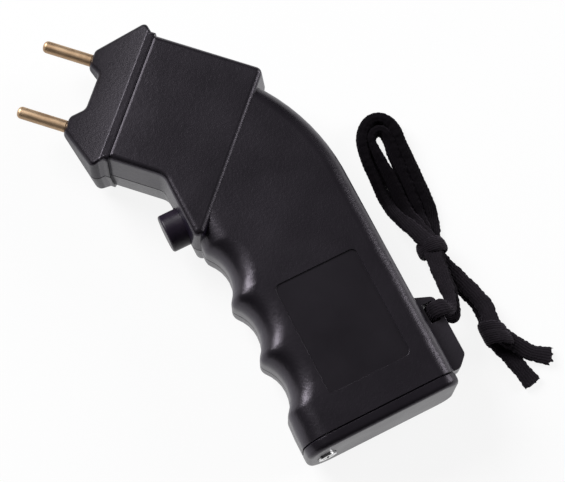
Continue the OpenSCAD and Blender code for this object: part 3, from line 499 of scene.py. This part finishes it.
route_low = [
    (6.6, 6.6, 10.2, 0), (3.2, 11.6, 9.2, -10), (-0.4, 16.2, 8.2, -8), (-3.4, 20.8, 7.2, 0),
    (-5.8, 24.8, 6.8, 0), (-8.8, 27.2, 6.6, -4), (-12.2, 29.6, 6.3, -15), (-16.2, 32.6, 5, -38),
    (-19.5, 36, 3.4, -48), (-22.7, 39.8, 2.6, -50), (-26.6, 44.4, 2.5, -55), (-30.6, 48.2, 2.7, -65),
    (-34.6, 52.2, 3, -80), (-36.9, 55, 3, -90), (-37.2, 57.6, 3, -90), (-35.8, 59.6, 3, -90),
    (-33.8, 59.6, 3, -95), (-31.4, 57.6, 2.9, -105), (-28.8, 54.2, 2.7, -115), (-25.2, 49.8, 2.6, -120),
    (-21.8, 45.6, 2.5, -125), (-18.2, 40.8, 2.6, -130), (-15.2, 36.7, 3, -132), (-12.8, 33, 3.6, -148),
    (-9.8, 29.2, 4, -168), (-6.4, 25, 4.1, -180), (-1.6, 21.6, 4, -180), (5.6, 17.8, 4, -180),
    (12.6, 14, 4, -180), (16.6, 11.2, 4.4, -180), (21.6, 4.8, 5.2, -180), (26, 3, 4.8, -180),
    (30, 2.2, 3.9, -180), (35, 1.5, 2, -180), (42, 2.4, 1.4, -180),
]
slot_foot = grip(SLOT_ALONG, SLOT_ACROSS, 0.0)
slot_middle = grip(SLOT_ALONG, SLOT_ACROSS, MID)

# Limits of the cord's path: from where a heading counts as upright, the shortest gap, and the step
UPRIGHT = 0.9
SHORTEST = 0.001
PATH_STEP = 0.3


def cord_points(wrap, route):
    """The cord's points from the middle of the slot to one end, each with its lean."""
    points = [(slot_middle, 0.0)]
    points += [(grip(SLOT_ALONG + a, SLOT_ACROSS + d, MID + z), 0.0) for a, d, z in wrap]
    points += [(slot_foot + Vector((x, y, z)), math.radians(lean)) for x, y, z, lean in route]
    return points


def heading_at(points, i):
    """The direction of a row of points at one of them."""
    return (points[min(i + 1, len(points) - 1)][0] - points[max(i - 1, 0)][0]).normalized()


def flat_to(side, heading):
    """A direction made square to the heading."""
    return (side - heading * side.dot(heading)).normalized()


def frames(points):
    """Each point with the direction of the cord's width."""
    out = []
    last = None
    for i, (p, lean) in enumerate(points):
        heading = heading_at(points, i)
        if abs(heading.z) > UPRIGHT:
            side = Vector((DIAGONAL, -DIAGONAL, 0.0))
        else:
            side = Vector((0, 0, 1)).cross(heading).normalized()
        if last is not None and side.dot(last) < 0:
            side = -side
        last = side.copy()
        flat = flat_to(side, heading)
        out.append((p, flat * math.cos(lean) + heading.cross(flat) * math.sin(lean)))
    return out


def smooth_path(points):
    """Points close together on a smooth curve through the given ones, with the width's direction."""
    fine = []
    n = len(points)
    for i in range(n - 1):
        p0, p1, p2, p3 = (points[max(0, min(n - 1, i + k))][0] for k in (-1, 0, 1, 2))
        t1, t2, t3 = (math.sqrt(max(gap.length, SHORTEST)) for gap in (p1 - p0, p2 - p1, p3 - p2))
        start = end = p2 - p1
        if i > 0:
            start = ((p1 - p0) / t1 - (p2 - p0) / (t1 + t2) + (p2 - p1) / t2) * t2
        if i < n - 2:
            end = ((p2 - p1) / t2 - (p3 - p1) / (t2 + t3) + (p3 - p2) / t3) * t2
        count = max(2, int((p2 - p1).length / PATH_STEP))
        for k in range(count):
            t = k / count
            ease = t * t * (3 - 2 * t)
            p = p1 * (1 - ease) + p2 * ease
            p += start * (t ** 3 - 2 * t ** 2 + t) + end * (t ** 3 - t ** 2)
            fine.append((p, points[i][1].lerp(points[i + 1][1], ease).normalized()))
    fine.append(points[-1])
    return fine


# The lace's section, and how its yarns stand out of it
AROUND = 60
COLUMNS = 15
SECTION_POWER = 2.7
SECTION_STEPS = 2000
YARN_PITCH = 1.5
YARN_LIFT = 0.3
YARN_SINK = 0.2
YARN_SLANT = 0.42
RIDGE_POWER = 0.6
STRAY_LIFT = 0.05
STRAY_WAVES = ((5.1, 2.4), (1.7, 4.1))

# How the lace's width changes along it: slight swells, a pinch beside the lug, a fuller start in the slot
SWELLS = ((0.035, 0.9, 0.0), (0.03, 2.3, 1.0))
PINCH_AT = 16.0
PINCH_REACH = 10.0
PINCH_SHARE = 0.34
SLOT_FILL = 0.16
SLOT_REACH = 2.5

# Cut ends that flare and fray, the part that stands on edge, and the least height over the floor
FLARE_REACH = 4.0
FLARE_THINS = 0.5
FRAY_REACH = 1.2
FRAY_PACE = 2.7
FRAY_START = 0.6
SPLIT_PACE = 5.3
SPLIT_SHARE = 0.5
STAND_GAIN = 1.7
STAND_MOST = 0.85
FLOOR_GAP = 0.06


def lace_section():
    """Points evenly spaced round the lace's flattened section, each with its outward direction."""
    half_w = CORD_W / 2
    half_t = CORD_T / 2
    dense = []
    for i in range(SECTION_STEPS):
        t = 2 * math.pi * i / SECTION_STEPS
        c = math.cos(t)
        s = math.sin(t)
        x = math.copysign(abs(c) ** (2.0 / SECTION_POWER), c) * half_w
        y = math.copysign(abs(s) ** (2.0 / SECTION_POWER), s) * half_t
        dense.append((x, y))
    run = [0.0]
    for i in range(SECTION_STEPS):
        run.append(run[-1] + math.dist(dense[i], dense[(i + 1) % SECTION_STEPS]))
    out = []
    j = 0
    for k in range(AROUND):
        while run[j + 1] < run[-1] * k / AROUND:
            j += 1
        x, y = dense[j]
        nx = math.copysign(abs(x / half_w) ** (SECTION_POWER - 1) / half_w, x)
        ny = math.copysign(abs(y / half_t) ** (SECTION_POWER - 1) / half_t, y)
        size = math.hypot(nx, ny)
        out.append((x, y, nx / size, ny / size))
    return out


SECTION = lace_section()


def width_share(along, from_slot):
    """Share of the lace's width at a length along it."""
    share = 1.0 + sum(size * math.sin(along * pace + start) for size, pace, start in SWELLS)
    if from_slot:
        pinch = max(0.0, 1.0 - abs(along - PINCH_AT) / PINCH_REACH)
        share *= 1.0 - PINCH_SHARE * pinch * pinch * (3 - 2 * pinch)
        share *= 1.0 + SLOT_FILL * math.exp(-(along / SLOT_REACH) ** 2)
    return share


def yarn_lift(column, local, along):
    """How far a column's yarn stands out of the section, at a place from -1 to 1 across the column."""
    ridge = math.cos(local * math.pi / 2) ** RIDGE_POWER if abs(local) < 1 else 0.0
    slant = YARN_SLANT * local * (1 if column % 2 else -1)
    yarn = 0.5 + 0.5 * math.cos(2 * math.pi * (along / YARN_PITCH + slant + 0.5 * (column % 3)))
    stray = math.prod(math.sin(along * pace + column * start) for pace, start in STRAY_WAVES)
    return YARN_LIFT * ridge * (0.5 + 0.5 * yarn) - YARN_SINK + STRAY_LIFT * stray


def fray_out(column, local):
    """How far a column's threads reach past a cut end, from about -1.5 to 1.5."""
    return math.sin(column * FRAY_PACE + FRAY_START) + SPLIT_SHARE * math.sin(column * SPLIT_PACE + local)


def tube_faces(rings):
    """Faces of a closed tube of rings, with its two ends."""
    polys = []
    for i in range(rings - 1):
        for k in range(AROUND):
            a = i * AROUND + k
            b = i * AROUND + (k + 1) % AROUND
            polys.append((a, b, b + AROUND, a + AROUND))
    polys.append(tuple(range(AROUND - 1, -1, -1)))
    polys.append(tuple((rings - 1) * AROUND + k for k in range(AROUND)))
    return polys


def lace(name, points, wide=1.0, thick=1.0, end_flare=0.0, on_edge=0.0, ragged=0.0):
    """A flat braided lace along the points, as a mesh of slanting yarns, with its path and length."""
    path = smooth_path(points)
    steps = [0.0] + [(path[i][0] - path[i - 1][0]).length for i in range(1, len(path))]
    total = sum(steps)
    verts = []
    stand = []
    along = 0.0
    for i, (p, side) in enumerate(path):
        along += steps[i]
        left = total - along
        heading = heading_at(path, i)
        flat = flat_to(side, heading)
        over = heading.cross(flat)
        flare = 1.0 + end_flare * max(0.0, 1.0 - left / FLARE_REACH) ** 2
        fray = ragged * max(0.0, 1.0 - left / FRAY_REACH)
        width = wide * flare * width_share(along, on_edge > 0)
        depth = thick * (1.0 + on_edge * flat.z ** 2) * (1.0 - FLARE_THINS * (flare - 1.0))
        upright = min(STAND_MOST, STAND_GAIN * flat.z ** 2) if on_edge else 0.0
        for k, (x, y, nx, ny) in enumerate(SECTION):
            place = k / AROUND * COLUMNS
            column = int(place)
            local = 2 * (place - column) - 1
            lift = yarn_lift(column, local, along)
            q = p + heading * (fray * fray_out(column, local))
            q += flat * (x * width + nx * lift) + over * (y * depth + ny * lift)
            q.z = max(q.z, FLOOR_GAP)
            verts.append(q * MM)
            stand.append(upright)
    mesh = bpy.data.meshes.new(name)
    mesh.from_pydata(verts, [], tube_faces(len(path)))
    mesh.update()
    mesh.shade_smooth()
    mesh.attributes.new("stand", "FLOAT", "POINT").data.foreach_set("value", stand)
    mesh.materials.append(braid)
    obj = bpy.data.objects.new(name, mesh)
    bpy.context.scene.collection.objects.link(obj)
    return obj, [p * MM for p, side in path], total


# Braided fabric, darker in colour as painted shade and duller where the lace stands on edge
FABRIC_DARK = (0.0038, 0.0031, 0.0042)
FABRIC_LIGHT = (0.0077, 0.0063, 0.0083)
FABRIC_PAINTED_SHADE = (0.0015, 0.0012, 0.0017)
FABRIC_SHEEN_TINT = (0.56, 0.47, 0.6)
FABRIC_TINT = (0.96, 0.85, 1.0)


def cord_fabric():
    m, tree, shader, place = material("cord_braid")
    fibre = noise(tree, place, scale=5200.0, detail=2.0, rough=0.6)
    patch = noise(tree, place, scale=300.0, detail=2.0, rough=0.5)
    stand = add(tree, "ShaderNodeAttribute", attribute_name="stand").outputs["Fac"]
    tone = blend(tree, vary(tree, patch), FABRIC_DARK, FABRIC_LIGHT)
    # Painted shade: where the lace stands on edge its colour goes darker, standing in for the shade its
    # sides lie in
    put(tree, blend(tree, stand, tone, FABRIC_PAINTED_SHADE), shader.inputs["Base Color"])
    put(tree, vary(tree, fibre, low=0.8, high=1.0), shader.inputs["Roughness"])
    put(tree, fade(tree, stand, least=0.04, most=0.18), shader.inputs["Sheen Weight"])
    shader.inputs["Sheen Roughness"].default_value = 0.4
    shader.inputs["Sheen Tint"].default_value = with_alpha(FABRIC_SHEEN_TINT)
    put(tree, fade(tree, stand, least=0.045, most=0.28), shader.inputs["Specular IOR Level"])
    shader.inputs["Specular Tint"].default_value = with_alpha(FABRIC_TINT)
    put(tree, bump(tree, fibre, strength=0.5, depth=0.08), shader.inputs["Normal"])
    return m


# Knots: the ends of the winding are tucked in, and the lace tilts a little as it goes round
STEPS_PER_TURN = 16
TUCK_SHARE = 0.45
TUCK_PACE = 7
TILT_SHARE = 0.2


def knot_path(at, heading, height, r_side, r_up, turns, span, start, lean, grow):
    """Lace wound round a bundle that runs along the heading, each turn over the one before."""
    axis = Vector((math.cos(math.radians(heading)), math.sin(math.radians(heading)), 0.0))
    side = Vector((-axis.y, axis.x, 0.0))
    centre = slot_foot + Vector((*at, height))
    out = []
    count = int(STEPS_PER_TURN * turns)
    for i in range(count + 1):
        s = i / count
        t = math.radians(start) + 2 * math.pi * turns * s
        tuck = 1.0 - TUCK_SHARE * max(0.0, 1 - s * TUCK_PACE, 1 - (1 - s) * TUCK_PACE)
        wide = (r_side + grow * s) * tuck
        high = (r_up + (grow * s if math.sin(t) > 0 else 0.0)) * tuck
        offset = (s - 0.5) * span + lean * math.cos(t)
        p = centre + side * (math.cos(t) * wide) + Vector((0, 0, math.sin(t) * high)) + axis * offset
        tilt = TILT_SHARE * lean * math.sin(t) / r_side
        out.append((p, (axis + side * tilt).normalized()))
    return out


braid = cord_fabric()
outer_points = cord_points(wrap_high, route_high)
whole = frames(outer_points[::-1] + cord_points(wrap_low, route_low)[1:])
middle = len(outer_points) - 1
outer, outer_path, outer_length = lace(
    "cord_outer", whole[middle::-1], end_flare=0.12, on_edge=0.95, ragged=0.3,
)
inner, inner_path, inner_length = lace(
    "cord_inner", whole[middle:], end_flare=0.12, on_edge=0.6, ragged=0.75,
)
gather_path = knot_path(
    at=(-6.2, 24.6), heading=-48, height=5.7, r_side=3.7, r_up=4.7,
    turns=2.3, span=2.0, start=205, lean=0.5, grow=0.7,
)
gather = lace("knot_gather", gather_path, wide=0.78, thick=0.8)[0]
tail_path = knot_path(
    at=(22.2, 3.4), heading=-48, height=4.4, r_side=3.1, r_up=3.5,
    turns=2.2, span=7.0, start=200, lean=2.2, grow=0.8,
)
tail = lace("knot_tail", tail_path, wide=0.84, thick=0.95)[0]
for obj in (outer, inner, gather, tail):
    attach(obj, "housing")
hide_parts("wrist_cord")
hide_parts("gather_knot")
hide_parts("tail_knot")

# Pale floor that keeps a soft shadow and reads white to the camera
FLOOR_HALF = 3.0
FLOOR_DROP = 0.0002
FLOOR_TONE = (0.88, 0.88, 0.89)
FLOOR_GLOW = 0.88
WHITE = (1.0, 1.0, 1.0)


def floor_white():
    m = bpy.data.materials.new("floor_white")
    m.use_nodes = True
    tree = m.node_tree
    tree.nodes.remove(tree.nodes["Principled BSDF"])
    matt = add(tree, "ShaderNodeBsdfDiffuse")
    matt.inputs["Color"].default_value = with_alpha(FLOOR_TONE)
    glow = add(tree, "ShaderNodeEmission")
    glow.inputs["Color"].default_value = with_alpha(WHITE)
    glow.inputs["Strength"].default_value = 1.0
    ray = add(tree, "ShaderNodeLightPath")
    seen = math_node(tree, "MAXIMUM", ray.outputs["Is Camera Ray"], ray.outputs["Is Glossy Ray"])
    seen = math_node(tree, "MAXIMUM", seen, ray.outputs["Is Transmission Ray"])
    mix = add(tree, "ShaderNodeMixShader")
    put(tree, times(tree, seen, FLOOR_GLOW), mix.inputs[0])
    put(tree, matt.outputs[0], mix.inputs[1])
    put(tree, glow.outputs[0], mix.inputs[2])
    put(tree, mix.outputs[0], tree.nodes["Material Output"].inputs["Surface"])
    return m


floor_mesh = bpy.data.meshes.new("floor")
corners = [(x * FLOOR_HALF, y * FLOOR_HALF, 0) for x, y in ((-1, -1), (1, -1), (1, 1), (-1, 1))]
floor_mesh.from_pydata(corners, [], [(0, 1, 2, 3)])
floor_mesh.materials.append(floor_white())
floor = bpy.data.objects.new("floor", floor_mesh)
floor.location.z = -FLOOR_DROP
bpy.context.scene.collection.objects.link(floor)

# Soft studio light: a dim sky, a little brighter overhead, and two lamps
SKY_LOW = 0.3
SKY_HIGH = 0.95
SKY_DIM = 0.03
SKY_BRIGHT = 0.13
world = bpy.data.worlds.new("studio")
world.use_nodes = True
sky = world.node_tree
back = sky.nodes["Background"]
back.inputs["Color"].default_value = with_alpha(WHITE)
direction = add(sky, "ShaderNodeTexCoord").outputs["Generated"]
brightness = spread(sky, axes(sky, direction)[2], SKY_LOW, SKY_HIGH, SKY_DIM, SKY_BRIGHT)
put(sky, brightness, back.inputs["Strength"])
bpy.context.scene.world = world


def lamp(name, sideways, upwards, height, size, power):
    """A round soft lamp, placed in metres from the target as the picture shows it."""
    data = bpy.data.lights.new(name, "AREA")
    data.shape = "DISK"
    data.size = size
    data.energy = power
    obj = bpy.data.objects.new(name, data)
    at = TARGET + right * sideways + plan_up * upwards + Vector((0, 0, height))
    obj.location = at
    obj.rotation_euler = (TARGET - at).to_track_quat("-Z", "Y").to_euler()
    bpy.context.scene.collection.objects.link(obj)


lamp("key", sideways=-1.24, upwards=0.95, height=1.18, size=1.25, power=52.0)
lamp("fill", sideways=1.35, upwards=0.5, height=0.6, size=0.8, power=12.5)
